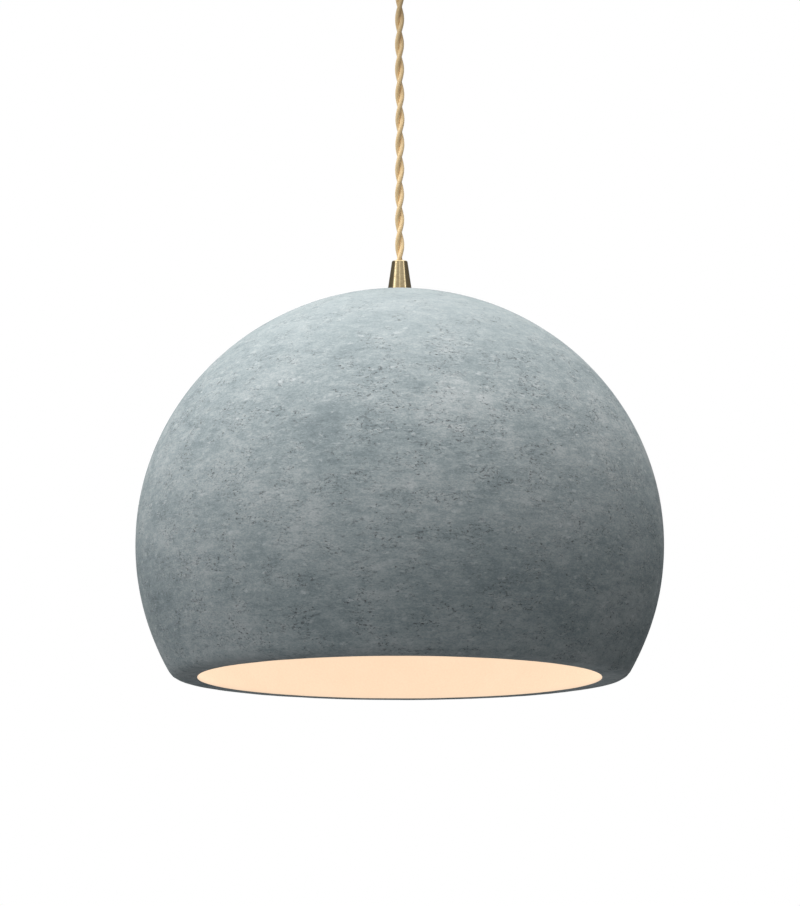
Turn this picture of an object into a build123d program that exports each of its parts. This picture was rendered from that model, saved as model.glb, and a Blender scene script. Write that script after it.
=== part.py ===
from build123d import *
from math import acos, asin, cos, degrees, pi, radians, sin, sqrt
import os

os.makedirs("parts", exist_ok=True)

# Pendant ceiling light: a domed shade hung on a twisted textile cord from a small ceiling canopy.
#
# The shade is one thick-walled moulding of grey, concrete-like pulp with a flat crown and a turned-in
# rim. A threaded tube clamps it between a brass cone, which grips the cord, and a washer and lock nut.
# A three-piece lampholder hangs from the same tube and holds a screw-in bulb. At the ceiling a second
# brass cone, a spun cup and a steel bracket hold the cord, and the bracket carries the terminal block.
#
# Frame: millimetres, +Z up, origin at the centre of the bracket's top face, where it meets the ceiling.
# Everything hangs below it on the Z axis. Each sub-part is written to parts/NAME.step.

# ---------------------------------------------------------------- driving dimensions
# shade
shade_diameter = 400.0
shade_height = 294.0
equator_height = 101.0  # of the widest level above the rim
crown_flat_radius = 26.0
opening_diameter = 300.0
rim_width = 21.3  # flat and rounded corner together, from the opening's edge outwards
wall_side = 9.0
wall_crown = 10.0
crown_seat_margin = 4.0  # flat inside the crown, beyond the load washer
rim_corner_radius = 10.0
rim_inner_edge = 1.2

# cord
cord_diameter = 7.0  # over both twisted strands
cord_length = 217.0  # free length, from mouth to mouth of the two cones
bend_gap = 0.3  # around the ball that stands for the bending stretch
core_diameter = 2.2  # one insulated conductor

# cone-shaped cord grip, used at both ends of the cord
grip_height = 24.0
grip_base_overlap = 4.4
grip_tip_wall = 1.8
grip_thread_depth = 9.0
grip_cavity_depth = 20.0
grip_mouth_clearance = 0.6
grip_flare = 0.8
collet_clearance = 0.08
collet_slit = 0.8
collet_slits = 3
collet_slit_share = 0.6  # of the sleeve's length

# M10 x 1 threaded tube and what it clamps
tube_radius = 5.0
tube_bore_clearance = 0.4
tube_hole_clearance = 0.25
gasket_thickness = 0.8
gasket_inset = 0.3
inner_gasket_thickness = 1.0
inner_gasket_inset = 1.0
load_washer_radius = 16.0
load_washer_thickness = 2.0
nut_across_flats = 14.0
nut_thickness = 3.0
canopy_tube_overrun = 2.0  # past the nut inside the canopy
jacket_overrun = 3.0  # the cord's jacket past the same nut

# lampholder
holder_radius = 20.0
holder_boss_radius = 9.0
holder_boss_height = 5.0
holder_cap_height = 20.0
holder_wall = 2.0
holder_edge = 0.8
holder_thread_depth = 9.0
holder_skirt_height = 40.0
holder_skirt_step = 1.6
holder_grip_band = 5.0
holder_grip_taper = 3.0
holder_mouth_edge = 1.5
holder_rib_count = 36
holder_rib_radius = 0.5
holder_rib_length = 4.0
grub_radius = 1.5
grub_length = 4.0
grub_slot_depth = 0.7
grub_slot_width = 0.5
spigot_height = 6.0
spigot_wall = 1.05
spigot_clearance = 0.05
insert_thickness = 10.0
insert_clearance = 0.1
insert_rise = 2.0  # how far the insert stands up into the cap
insert_edge = 0.6
terminal_offset = 9.5
terminal_pocket = 7.0
terminal_pocket_depth = 4.0
terminal_screw_radius = 2.6
terminal_screw_head = 1.8
terminal_screw_slot_width = 0.7
terminal_screw_slot_depth = 0.6
terminal_lead_drop = 1.6  # straight below the cord's end
terminal_lead_rise = 2.0  # straight above the terminal
terminal_lead_bend = 1.5
rivet_radius = 1.0
neutral_rivet_offset = 10.8
live_rivet_offset = 7.4
tongue_slot_depth = 2.5
tongue_slot_width = 6.0
tongue_width = 4.0
tongue_thickness = 0.4
tongue_bend_reach = 4.4  # where it leaves the insert, from the axis
tongue_foot_reach = 0.6  # where its flat foot starts
tongue_end_reach = 2.6  # where the foot ends, beyond the axis
tongue_drop = 3.0  # from the insert's underside to the bulb's tip
cord_end_gap = 0.5  # how far the cord stands out of the threaded tube inside the cap

# E27 screw thread
thread_pitch = 3.629
thread_turns = 3.5
cap_root_radius = 12.15
cap_ridge_height = 0.95
cap_ridge_width = 2.5
shell_bore_radius = 13.3
shell_ridge_height = 0.95
shell_ridge_base = 2.2
shell_ridge_crest = 0.6
shell_wall = 0.6
shell_length = 26.0
shell_flange_radius = 9.2
shell_thread_margin = 2.0
shroud_clearance = 0.5  # between the shell and the skirt
ridge_embed = 0.3

# bulb
bulb_radius = 30.0
bulb_length = 107.0
bulb_cap_length = 27.0
bulb_cap_plain = 3.5  # unthreaded band over the glass
bulb_cap_step = 0.7
bulb_neck_radius = 12.9
bulb_neck_curve = 40.0
bulb_glass_wall = 0.8
bulb_tip_radius = 4.9
bulb_tip_height = 1.2
bulb_tip_margin = 1.2
bulb_insulator_height = 4.5
bulb_shell_wall = 0.75
bulb_plug_depth = 3.0
bulb_collar_height = 6.0
bulb_collar_gather = 1.0  # how far the collar draws in before the neck
bulb_collar_bend = 1.5
bulb_collar_run = 2.5
contact_gap = 0.1
stem_radius = 2.0
stem_flare_height = 3.0
stem_length = 28.0
filament_count = 4
filament_length = 34.0
filament_radius = 0.9
filament_top_ring = 4.2
filament_low_ring = 11.2
filament_rise = 6.0  # their upper ends, above the stem's end
filament_wire_radius = 0.35
filament_foot_drop = 2.0
board_width = 15.0
board_height = 10.0
board_thickness = 1.2
coil_size = 5.0
coil_offset = 3.0
coil_drop = 4.0
chip_width = 4.0
chip_height = 6.0
chip_offset = 3.5
chip_drop = 5.5
component_depth = 3.0

# ceiling canopy and bracket
canopy_radius = 50.0
canopy_height = 26.0
canopy_wall = 1.0
canopy_shoulder = 6.0
bracket_width = 20.0
bracket_thickness = 2.0
bracket_ear_gap = 1.5  # ear to canopy wall, on the screw's axis
bracket_ear_height = 15.0
bracket_bend = 1.0
slot_spacing = 60.0
slot_length = 12.0
slot_width = 5.0
side_screw_radius = 2.0
side_screw_level = 10.0  # below the ceiling
side_screw_clearance = 0.2
side_screw_head_radius = 3.6
side_screw_head_height = 2.2
side_screw_head_edge = 1.0
side_screw_overrun = 1.0
side_screw_slot_depth = 1.0
side_screw_slot_width = 0.9
canopy_washer_radius = 8.5
canopy_washer_thickness = 1.2

# terminal block
pole_width = 9.0
pole_count = 2
block_depth = 17.0
block_height = 13.0
block_centre_y = 22.0
block_tube_radius = 2.1
block_tube_bore = 1.5
block_screw_radius = 1.25
block_screw_spread = 10.0
block_screw_clearance = 0.5
block_screw_sink = 1.0
block_screw_slot_width = 0.5
block_screw_slot_depth = 0.6
block_wire_share = 0.55  # of its height, from the top down to the wires
block_margin = 1.0  # over the width of its poles
block_edge = 1.0
block_tube_inset = 1.5
block_fixing_radius = 1.5
block_fixing_clearance = 0.1
block_fixing_head_radius = 2.8
block_fixing_head_height = 1.6
block_fixing_slot_width = 0.7
block_fixing_slot_depth = 0.7
supply_lead_run = 3.0  # straight, before the block
supply_lead_bend = 2.0
tab_width = 8.0
tab_margin = 6.0  # past the block's own screw
pick = 0.01  # how near a level an edge must lie to be picked

# ---------------------------------------------------------------- levels, from the ceiling down
canopy_floor = -canopy_height
ceiling_mouth = canopy_floor - grip_height
shade_mouth = ceiling_mouth - cord_length
grip_base = shade_mouth - grip_height
crown = grip_base - gasket_thickness
rim = crown - shade_height
crown_inside = crown - wall_crown
load_washer_top = crown_inside - inner_gasket_thickness
nut_top = load_washer_top - load_washer_thickness
holder_top = nut_top - nut_thickness
tube_end = holder_top - holder_thread_depth
holder_joint = holder_top - holder_cap_height
holder_mouth = holder_joint - holder_skirt_height
insert_top = holder_joint + insert_rise
insert_bottom = insert_top - insert_thickness
bulb_top = insert_bottom - tongue_drop
bulb_shell_top = bulb_top - bulb_insulator_height
bulb_shell_end = bulb_top - bulb_cap_length
bulb_bottom = bulb_top - bulb_length
shell_end = insert_bottom - shell_length
shell_thread_start = shell_end + shell_thread_margin
canopy_floor_top = canopy_floor + canopy_wall
canopy_washer_top = canopy_floor_top + canopy_washer_thickness
canopy_nut_top = canopy_washer_top + nut_thickness
supply_end = canopy_nut_top + jacket_overrun

cord_radius = cord_diameter / 2
core_radius = core_diameter / 2
core_offset = cord_radius / 2  # each strand's centre, from the cord's axis
tube_hole_radius = tube_radius + tube_hole_clearance
tube_bore_radius = cord_radius + tube_bore_clearance
grip_mouth_radius = cord_radius + grip_mouth_clearance
grip_tip_radius = grip_mouth_radius + grip_tip_wall
grip_base_radius = tube_radius + grip_base_overlap
holder_skirt_end_radius = holder_radius - holder_skirt_step
spigot_outer = holder_radius - holder_wall - spigot_clearance
spigot_inner = spigot_outer - spigot_wall
insert_radius = spigot_inner - insert_clearance


def save(part, label):
    """Labels a finished piece and writes it under its node's name."""
    part.label = label
    export_step(part, f"parts/{label}.step")


def turned(points):
    """A solid of revolution about Z from an outline of (radius, height) points."""
    with BuildPart() as body:
        with BuildSketch(Plane.XZ):
            with BuildLine():
                Polyline(*points, close=True)
            make_face()
        revolve(axis=Axis.Z)
    return body.part


def ring(outer, inner, low, high):
    """A plain washer or sleeve on the Z axis."""
    return turned([(inner, low), (outer, low), (outer, high), (inner, high)])


def rod(radius, low, high, x=0.0, y=0.0):
    """A plain upright cylinder."""
    with BuildPart() as body:
        with BuildSketch(Plane.XY.offset(low)):
            with Locations((x, y)):
                Circle(radius)
        extrude(amount=high - low)
    return body.part


def tube_along(points, radii, radius):
    """A round wire along straight runs joined by tangent arcs."""
    with BuildPart() as wire:
        with BuildLine() as route:
            FilletPolyline(*points, radius=radii)
        with BuildSketch(Plane(route.line @ 0, z_dir=route.line % 0)):
            Circle(radius)
        sweep()
    return wire.part


# ---------------------------------------------------------------- shade
def quarter_rise(side, reach, rise):
    """Height of an ellipse that is that wide at its middle and is at radius reach when it has that rise."""
    return rise / sqrt(1 - (reach / side) ** 2)


def shade():
    """The dome: a half ellipse above its widest level, and below it a wall that thickens into the rim."""
    side = shade_diameter / 2
    opening = opening_diameter / 2
    equator = rim + equator_height
    rim_radius = opening + rim_width
    inner_side = side - wall_side
    seat_radius = load_washer_radius + crown_seat_margin
    outer_rise = quarter_rise(side, crown_flat_radius, crown - equator)
    inner_rise = quarter_rise(inner_side, seat_radius, crown_inside - equator)
    outer_angle = degrees(acos(crown_flat_radius / side))
    inner_angle = degrees(acos(seat_radius / inner_side))

    with BuildPart() as dome:
        with BuildSketch(Plane.XZ):
            with BuildLine():
                over = EllipticalCenterArc((0, equator), side, outer_rise, 0, arc_size=outer_angle)
                under = EllipticalCenterArc((0, equator), inner_side, inner_rise, 0, arc_size=inner_angle)
                Polyline(over @ 1, (tube_hole_radius, crown), (tube_hole_radius, crown_inside), under @ 1)
                TangentArc((side, equator), (rim_radius, rim), tangent=(0, -1))
                TangentArc((inner_side, equator), (opening, rim), tangent=(0, -1))
                Line((opening, rim), (rim_radius, rim))
            make_face()
        revolve(axis=Axis.Z)
        rim_edges = dome.edges().filter_by(GeomType.CIRCLE).filter_by_position(Axis.Z, rim - pick, rim + pick)
        fillet(rim_edges.sort_by(SortBy.RADIUS)[-1], rim_corner_radius)
        rim_edges = dome.edges().filter_by(GeomType.CIRCLE).filter_by_position(Axis.Z, rim - pick, rim + pick)
        fillet(rim_edges.sort_by(SortBy.RADIUS)[0], rim_inner_edge)
    save(dome.part, "shade")


# ---------------------------------------------------------------- cord grips
def grip_cone(base, up):
    """A turned brass cone: a threaded base, a tapered seat for the collet and a flared mouth."""
    tip = base + up * grip_height
    shoulder = base + up * grip_thread_depth
    seat = base + up * grip_cavity_depth
    with BuildPart() as cone:
        with BuildSketch(Plane.XZ):
            with BuildLine():
                Polyline(
                    (tube_radius, base),
                    (grip_base_radius, base),
                    (grip_tip_radius, tip),
                    (grip_mouth_radius, tip),
                    (grip_mouth_radius, seat),
                    (tube_radius, shoulder),
                    close=True,
                )
            make_face()
        revolve(axis=Axis.Z)
        tip_edges = cone.edges().filter_by(GeomType.CIRCLE).filter_by_position(Axis.Z, tip - pick, tip + pick)
        fillet(tip_edges, grip_flare)
    return cone.part


def grip_collet(base, up):
    """The slit nylon sleeve that the cone squeezes on to the cord."""
    low = base + up * grip_thread_depth
    high = base + up * grip_cavity_depth
    bore = cord_radius
    with BuildPart() as sleeve:
        with BuildSketch(Plane.XZ):
            with BuildLine():
                Polyline(
                    (bore, low),
                    (tube_radius - collet_clearance, low),
                    (grip_mouth_radius - collet_clearance, high),
                    (bore, high),
                    close=True,
                )
            make_face()
        revolve(axis=Axis.Z)
        slit_height = collet_slit_share * (grip_cavity_depth - grip_thread_depth)
        middle = high - up * slit_height / 2
        with PolarLocations(tube_radius, collet_slits):
            with Locations((0, 0, middle)):
                Box(2 * tube_radius, collet_slit, slit_height, mode=Mode.SUBTRACT)
    return sleeve.part


def hex_nut(low):
    """A thin M10 lock nut with its corners turned off on both faces."""
    corner = nut_across_flats / sqrt(3)
    with BuildPart() as nut:
        with BuildSketch(Plane.XY.offset(low)):
            RegularPolygon(corner, 6)
            Circle(tube_radius, mode=Mode.SUBTRACT)
        extrude(amount=nut_thickness)
        with BuildSketch(Plane.XZ):
            with BuildLine():
                bevel = corner - nut_across_flats / 2
                Polyline(
                    (0, low),
                    (nut_across_flats / 2, low),
                    (corner, low + bevel / 2),
                    (corner, low + nut_thickness - bevel / 2),
                    (nut_across_flats / 2, low + nut_thickness),
                    (0, low + nut_thickness),
                    close=True,
                )
            make_face()
        revolve(axis=Axis.Z, mode=Mode.INTERSECT)
    return nut.part


def shade_fixings():
    """The cone, collet, gaskets, washer and nut that clamp the shade to its threaded tube."""
    save(grip_cone(grip_base, 1), "shade_grip_cone")
    save(grip_collet(grip_base, 1), "shade_grip_collet")
    save(ring(tube_radius, tube_bore_radius, tube_end, grip_base + grip_thread_depth), "shade_tube")
    save(ring(grip_base_radius - gasket_inset, tube_hole_radius, crown, grip_base), "crown_gasket")
    save(
        ring(load_washer_radius - inner_gasket_inset, tube_hole_radius, load_washer_top, crown_inside),
        "inner_gasket",
    )
    save(ring(load_washer_radius, tube_hole_radius, nut_top, load_washer_top), "load_washer")
    save(hex_nut(holder_top), "shade_lock_nut")


# ---------------------------------------------------------------- cord
def cord():
    """The cord's outer shape, with a ball at each end for the short stretch that bends there."""
    stand_off = cord_radius + bend_gap
    save(rod(cord_radius, ceiling_mouth + stand_off, supply_end), "cord_in_canopy")
    for level, label in ((ceiling_mouth, "cord_bend_upper"), (shade_mouth, "cord_bend_lower")):
        with BuildPart() as bend:
            with Locations((0, 0, level)):
                Sphere(cord_radius)
        save(bend.part, label)
    save(rod(cord_radius, shade_mouth + stand_off, ceiling_mouth - stand_off), "suspension_cord")
    save(rod(cord_radius, tube_end - cord_end_gap, shade_mouth - stand_off), "cord_in_shade_tube")


# ---------------------------------------------------------------- lampholder
def holder_cap():
    """The domed upper half, with a threaded boss and a cross hole for its grub screw."""
    top = holder_top
    shoulder = top - holder_boss_height
    dome_end = holder_joint + spigot_height
    roof = tube_end
    socket_radius = holder_radius - holder_wall
    with BuildPart() as cap:
        with BuildSketch(Plane.XZ):
            with BuildLine():
                Line((tube_radius, top), (holder_boss_radius, top))
                Line((holder_boss_radius, top), (holder_boss_radius, shoulder))
                EllipticalCenterArc(
                    (holder_boss_radius, dome_end),
                    holder_radius - holder_boss_radius,
                    shoulder - dome_end,
                    start_angle=0,
                    arc_size=90,
                )
                Line((holder_radius, dome_end), (holder_radius, holder_joint))
                Line((holder_radius, holder_joint), (socket_radius, holder_joint))
                Line((socket_radius, holder_joint), (socket_radius, dome_end))
                Line((socket_radius, dome_end), (holder_boss_radius, roof))
                Line((holder_boss_radius, roof), (tube_radius, roof))
                Line((tube_radius, roof), (tube_radius, top))
            make_face()
        revolve(axis=Axis.Z)
        rim_edge = cap.edges().filter_by(GeomType.CIRCLE).group_by(Axis.Z)[-1].sort_by(SortBy.RADIUS)[-1]
        fillet(rim_edge, holder_edge)
        with Locations(Location((0, 0, top - holder_boss_height / 2), (0, 90, 0))):
            Cylinder(
                grub_radius,
                holder_radius,
                align=(Align.CENTER, Align.CENTER, Align.MIN),
                mode=Mode.SUBTRACT,
            )
    save(cap.part, "lampholder_cap")


def holder_grub_screw():
    """The slotted grub screw that stops the cap from turning on its tube."""
    level = holder_top - holder_boss_height / 2
    with BuildPart() as grub:
        with Locations(Location((tube_radius, 0, level), (0, 90, 0))):
            Cylinder(grub_radius, grub_length, align=(Align.CENTER, Align.CENTER, Align.MIN))
        with Locations((tube_radius + grub_length, 0, level)):
            Box(2 * grub_slot_depth, 2 * grub_radius, grub_slot_width, mode=Mode.SUBTRACT)
    save(grub.part, "lampholder_grub_screw")


def holder_skirt():
    """The lower half: a spigot inside the cap, a housing for the insert and a shroud round the bulb's cap."""
    shoulder = insert_bottom
    shroud = shell_bore_radius + shell_wall + shroud_clearance
    band_end = holder_joint - holder_grip_band
    with BuildPart() as skirt:
        with BuildSketch(Plane.XZ):
            with BuildLine():
                Polyline(
                    (spigot_inner, holder_joint + spigot_height),
                    (spigot_outer, holder_joint + spigot_height),
                    (spigot_outer, holder_joint),
                    (holder_radius, holder_joint),
                    (holder_radius, band_end),
                    (holder_skirt_end_radius, band_end - holder_grip_taper),
                    (holder_skirt_end_radius, holder_mouth),
                    (shroud, holder_mouth),
                    (shroud, shoulder),
                    (spigot_inner, shoulder),
                    close=True,
                )
            make_face()
        revolve(axis=Axis.Z)
        mouth_edges = skirt.edges().filter_by(GeomType.CIRCLE).group_by(Axis.Z)[0]
        fillet(mouth_edges.sort_by(SortBy.RADIUS)[-1], holder_mouth_edge)
        # finger ribs round the grip band below the joint
        with PolarLocations(holder_radius, holder_rib_count):
            with Locations((0, 0, holder_joint - holder_grip_band / 2)):
                Cylinder(holder_rib_radius, holder_rib_length, mode=Mode.SUBTRACT)
    save(skirt.part, "lampholder_skirt")


def holder_insert():
    """The moulded core between cap and skirt: two terminal pockets and a recess for the tongue."""
    slot_overall = 2 * (live_rivet_offset + rivet_radius)
    with BuildPart() as core:
        with BuildSketch(Plane.XY.offset(insert_bottom)):
            Circle(insert_radius)
        extrude(amount=insert_thickness)
        chamfer(core.edges().filter_by(GeomType.CIRCLE).group_by(Axis.Z)[-1], insert_edge)
        with Locations((terminal_offset, 0, insert_top), (-terminal_offset, 0, insert_top)):
            Box(terminal_pocket, terminal_pocket, 2 * terminal_pocket_depth, mode=Mode.SUBTRACT)
        with Locations((live_rivet_offset, 0, insert_bottom), (-neutral_rivet_offset, 0, insert_bottom)):
            Cylinder(rivet_radius, 2 * insert_thickness, mode=Mode.SUBTRACT)
        with BuildSketch(Plane.XY.offset(insert_bottom)):
            SlotOverall(slot_overall, tongue_slot_width)
        extrude(amount=tongue_slot_depth, mode=Mode.SUBTRACT)
    save(core.part, "lampholder_insert")


def holder_contacts():
    """The centre tongue, the two rivets through the insert and the two terminal screws."""
    seat = insert_bottom + tongue_slot_depth
    low = bulb_top + contact_gap
    pocket_floor = insert_top - terminal_pocket_depth
    with BuildPart() as tongue:
        with BuildSketch(Plane.XZ.offset(-tongue_width / 2)):
            with BuildLine():
                Polyline(
                    (live_rivet_offset, seat),
                    (live_rivet_offset, seat - tongue_thickness),
                    (tongue_bend_reach, seat - tongue_thickness),
                    (tongue_foot_reach, low),
                    (-tongue_end_reach, low),
                    (-tongue_end_reach, low + tongue_thickness),
                    (tongue_foot_reach - tongue_thickness / 2, low + tongue_thickness),
                    (tongue_bend_reach - tongue_thickness / 2, seat),
                    close=True,
                )
            make_face()
        extrude(amount=tongue_width)
    save(tongue.part, "lampholder_centre_contact")

    with BuildPart() as rivets:
        with BuildSketch(Plane.XY.offset(pocket_floor)):
            with Locations((live_rivet_offset, 0)):
                Circle(rivet_radius)
        extrude(amount=seat - pocket_floor)
        with BuildSketch(Plane.XY.offset(pocket_floor)):
            with Locations((-neutral_rivet_offset, 0)):
                Circle(rivet_radius)
        extrude(amount=insert_bottom - pocket_floor)
    save(rivets.part, "lampholder_rivets")

    with BuildPart() as screws:
        for x in (-terminal_offset, terminal_offset):
            with Locations((x, 0, pocket_floor)):
                Cylinder(
                    terminal_screw_radius,
                    terminal_screw_head,
                    align=(Align.CENTER, Align.CENTER, Align.MIN),
                )
        for x in (-terminal_offset, terminal_offset):
            with Locations((x, 0, pocket_floor + terminal_screw_head)):
                Box(
                    3 * terminal_screw_radius,
                    terminal_screw_slot_width,
                    2 * terminal_screw_slot_depth,
                    mode=Mode.SUBTRACT,
                )
    save(screws.part, "lampholder_terminal_screws")


def holder_leads():
    """The two cores from the cord's end to the lampholder's terminals."""
    start = tube_end - cord_end_gap
    end = insert_top - terminal_pocket_depth + terminal_screw_head
    for side, label in ((1, "lampholder_lead_live"), (-1, "lampholder_lead_neutral")):
        knee = terminal_offset * side
        route = [
            (side * core_offset, 0, start),
            (side * core_offset, 0, start - terminal_lead_drop),
            (knee, 0, end + terminal_lead_rise),
            (knee, 0, end),
        ]
        save(tube_along(route, terminal_lead_bend, core_radius), label)


def helix_ridge(profile, radius, low):
    """A ridge of that profile wound along the screw thread."""
    with BuildPart() as ridge:
        with BuildLine() as path:
            Helix(pitch=thread_pitch, height=thread_pitch * thread_turns, radius=radius, center=(0, 0, low))
        sweep(sections=profile, path=path.line, is_frenet=True)
    return ridge.part


def thread_shell():
    """The lampholder's screw shell: a thin sleeve with the female thread rolled inwards."""
    bore = shell_bore_radius
    top = insert_bottom
    half_base, half_crest = shell_ridge_base / 2, shell_ridge_crest / 2
    with BuildSketch(Plane.XZ) as profile:
        with BuildLine():
            Polyline(
                (bore + ridge_embed, shell_thread_start - half_base),
                (bore, shell_thread_start - half_base),
                (bore - shell_ridge_height, shell_thread_start - half_crest),
                (bore - shell_ridge_height, shell_thread_start + half_crest),
                (bore, shell_thread_start + half_base),
                (bore + ridge_embed, shell_thread_start + half_base),
                close=True,
            )
        make_face()
    ridge = helix_ridge(profile.sketch, bore, shell_thread_start)
    sleeve = turned(
        [
            (bore, shell_end),
            (bore + shell_wall, shell_end),
            (bore + shell_wall, top),
            (shell_flange_radius, top),
            (shell_flange_radius, top - shell_wall),
            (bore, top - shell_wall),
        ]
    )
    with BuildPart() as shell:
        add(sleeve)
        add(ridge)
    save(shell.part, "lampholder_screw_shell")


# ---------------------------------------------------------------- bulb
def bulb_cap():
    """The bulb's screw cap, half a pitch out of step with the shell's ridge."""
    root = cap_root_radius
    plain = bulb_shell_end + bulb_cap_plain
    start = shell_thread_start + thread_pitch / 2
    half = cap_ridge_width / 2
    with BuildSketch(Plane.XZ) as profile:
        with BuildLine():
            Line((root - ridge_embed, start - half), (root, start - half))
            ThreePointArc((root, start - half), (root + cap_ridge_height, start), (root, start + half))
            Line((root, start + half), (root - ridge_embed, start + half))
            Line((root - ridge_embed, start + half), (root - ridge_embed, start - half))
        make_face()
    ridge = helix_ridge(profile.sketch, root, start)
    inner = root - bulb_shell_wall
    sleeve = turned(
        [
            (inner, bulb_shell_end),
            (bulb_neck_radius, bulb_shell_end),
            (bulb_neck_radius, plain - bulb_cap_step),
            (root, plain),
            (root, bulb_shell_top),
            (inner, bulb_shell_top),
        ]
    )
    with BuildPart() as cap:
        add(sleeve)
        add(ridge)
    save(cap.part, "bulb_cap")


def bulb_ends():
    """The insulator and the tip contact at the top of the cap."""
    inner = cap_root_radius - bulb_shell_wall
    tip_base = bulb_top - bulb_tip_height
    save(
        turned(
            [
                (0, bulb_shell_top - bulb_plug_depth),
                (inner, bulb_shell_top - bulb_plug_depth),
                (inner, bulb_shell_top),
                (cap_root_radius, bulb_shell_top),
                (bulb_tip_radius + bulb_tip_margin, tip_base),
                (0, tip_base),
            ]
        ),
        "bulb_insulator",
    )
    dome_radius = (bulb_tip_radius**2 + bulb_tip_height**2) / (2 * bulb_tip_height)
    dome_angle = degrees(acos(bulb_tip_radius / dome_radius))
    with BuildPart() as tip:
        with BuildSketch(Plane.XZ):
            with BuildLine():
                Line((0, tip_base), (bulb_tip_radius, tip_base))
                CenterArc((0, bulb_top - dome_radius), dome_radius, dome_angle, 90 - dome_angle)
                Line((0, bulb_top), (0, tip_base))
            make_face()
        revolve(axis=Axis.Z)
    save(tip.part, "bulb_tip_contact")


def bulb_glass():
    """The blown envelope: a ball, a long concave neck and a collar cemented inside the cap."""
    centre = bulb_bottom + bulb_radius
    collar_radius = cap_root_radius - bulb_shell_wall
    collar_top = bulb_shell_end + bulb_collar_height

    def outline(wall):
        """Outer or inner wall: the points from the bottom pole to the neck."""
        ball = bulb_radius - wall
        neck = bulb_neck_radius - wall
        curve = bulb_neck_curve + wall
        rise = sqrt((ball + curve) ** 2 - (neck + curve) ** 2)
        share = ball / (ball + curve)
        meet = ((neck + curve) * share, centre + rise * share)
        return ball, neck, curve, rise, meet

    ball, neck, curve, rise, meet = outline(0)
    ball_i, neck_i, curve_i, rise_i, meet_i = outline(bulb_glass_wall)
    halfway = radians(-35)
    ball_mid = (ball * cos(halfway), centre + ball * sin(halfway))
    ball_mid_i = (ball_i * cos(halfway), centre + ball_i * sin(halfway))
    turn = (neck + curve, centre + rise)
    turn_i = (neck_i + curve_i, centre + rise_i)
    sweep_mid = radians(180 + degrees(asin(rise / (ball + curve))) / 2)
    sweep_mid_i = radians(180 + degrees(asin(rise_i / (ball_i + curve_i))) / 2)
    with BuildPart() as glass:
        with BuildSketch(Plane.XZ):
            with BuildLine():
                ThreePointArc((0, bulb_bottom), ball_mid, meet)
                ThreePointArc(
                    meet,
                    (turn[0] + curve * cos(sweep_mid), turn[1] + curve * sin(sweep_mid)),
                    (neck, turn[1]),
                )
                Polyline(
                    (neck, turn[1]),
                    (neck, bulb_shell_end),
                    (collar_radius, bulb_shell_end),
                    (collar_radius, collar_top),
                    (collar_radius - bulb_glass_wall, collar_top),
                    (neck_i - bulb_collar_gather, bulb_shell_end - bulb_collar_bend),
                    (neck_i, bulb_shell_end - bulb_collar_run),
                    (neck_i, turn_i[1]),
                )
                ThreePointArc(
                    (neck_i, turn_i[1]),
                    (turn_i[0] + curve_i * cos(sweep_mid_i), turn_i[1] + curve_i * sin(sweep_mid_i)),
                    meet_i,
                )
                ThreePointArc(meet_i, ball_mid_i, (0, bulb_bottom + bulb_glass_wall))
                Line((0, bulb_bottom + bulb_glass_wall), (0, bulb_bottom))
            make_face()
        revolve(axis=Axis.Z)
    save(glass.part, "bulb_glass")


def rod_between(start, end, radius):
    """A straight round rod from one point to another."""
    run = Vector(end) - Vector(start)
    with BuildPart() as body:
        with BuildSketch(Plane(start, z_dir=run)):
            Circle(radius)
        extrude(amount=run.length)
    return body.part


def bulb_inside():
    """The glass stem, the light sticks that it carries, their wires and the driver board in the cap."""
    stem_top = bulb_shell_end + bulb_collar_height
    flare_radius = cap_root_radius - bulb_shell_wall - bulb_glass_wall
    flare_end = stem_top - stem_flare_height
    stem_end = stem_top - stem_length
    save(
        turned(
            [
                (0, stem_end),
                (stem_radius, stem_end),
                (stem_radius, flare_end - 2 * stem_flare_height),
                (flare_radius, flare_end),
                (flare_radius, stem_top),
                (0, stem_top),
            ]
        ),
        "bulb_stem",
    )
    stick_top = stem_end + filament_rise
    stick_end = stick_top - filament_length
    turns = [2 * pi * (i + 0.5) / filament_count for i in range(filament_count)]
    tops = [(filament_top_ring * cos(t), filament_top_ring * sin(t), stick_top) for t in turns]
    ends = [(filament_low_ring * cos(t), filament_low_ring * sin(t), stick_end) for t in turns]
    sticks = [rod_between(top, end, filament_radius) for top, end in zip(tops, ends)]
    with BuildPart() as filaments:
        for stick in sticks:
            add(stick)
    save(filaments.part, "bulb_filaments")

    hub = (0, 0, stem_end)
    foot = (0, 0, stick_end - filament_foot_drop)
    upper = [rod_between((0, 0, stick_top), top, filament_wire_radius) for top in tops]
    lower = [rod_between(foot, end, filament_wire_radius) for end in ends]
    spine = rod_between(hub, foot, filament_wire_radius)
    with BuildPart() as wires:
        for wire in (*upper, *lower, spine):
            add(wire)
        with Locations(foot):
            Sphere(2 * filament_wire_radius)
        for stick in sticks:
            add(stick, mode=Mode.SUBTRACT)
        with Locations((0, 0, stem_end + stem_length / 2)):
            Cylinder(stem_radius, stem_length, mode=Mode.SUBTRACT)
    save(wires.part, "bulb_wires")

    board_top = bulb_shell_top - bulb_plug_depth
    with BuildPart() as board:
        with Locations((0, 0, board_top - board_height / 2)):
            Box(board_width, board_thickness, board_height)
        with Locations((coil_offset, (board_thickness + component_depth) / 2, board_top - coil_drop)):
            Box(coil_size, component_depth, coil_size)
        with Locations((-chip_offset, (board_thickness + component_depth) / 2, board_top - chip_drop)):
            Box(chip_width, component_depth, chip_height)
    save(board.part, "bulb_driver_board")


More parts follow.
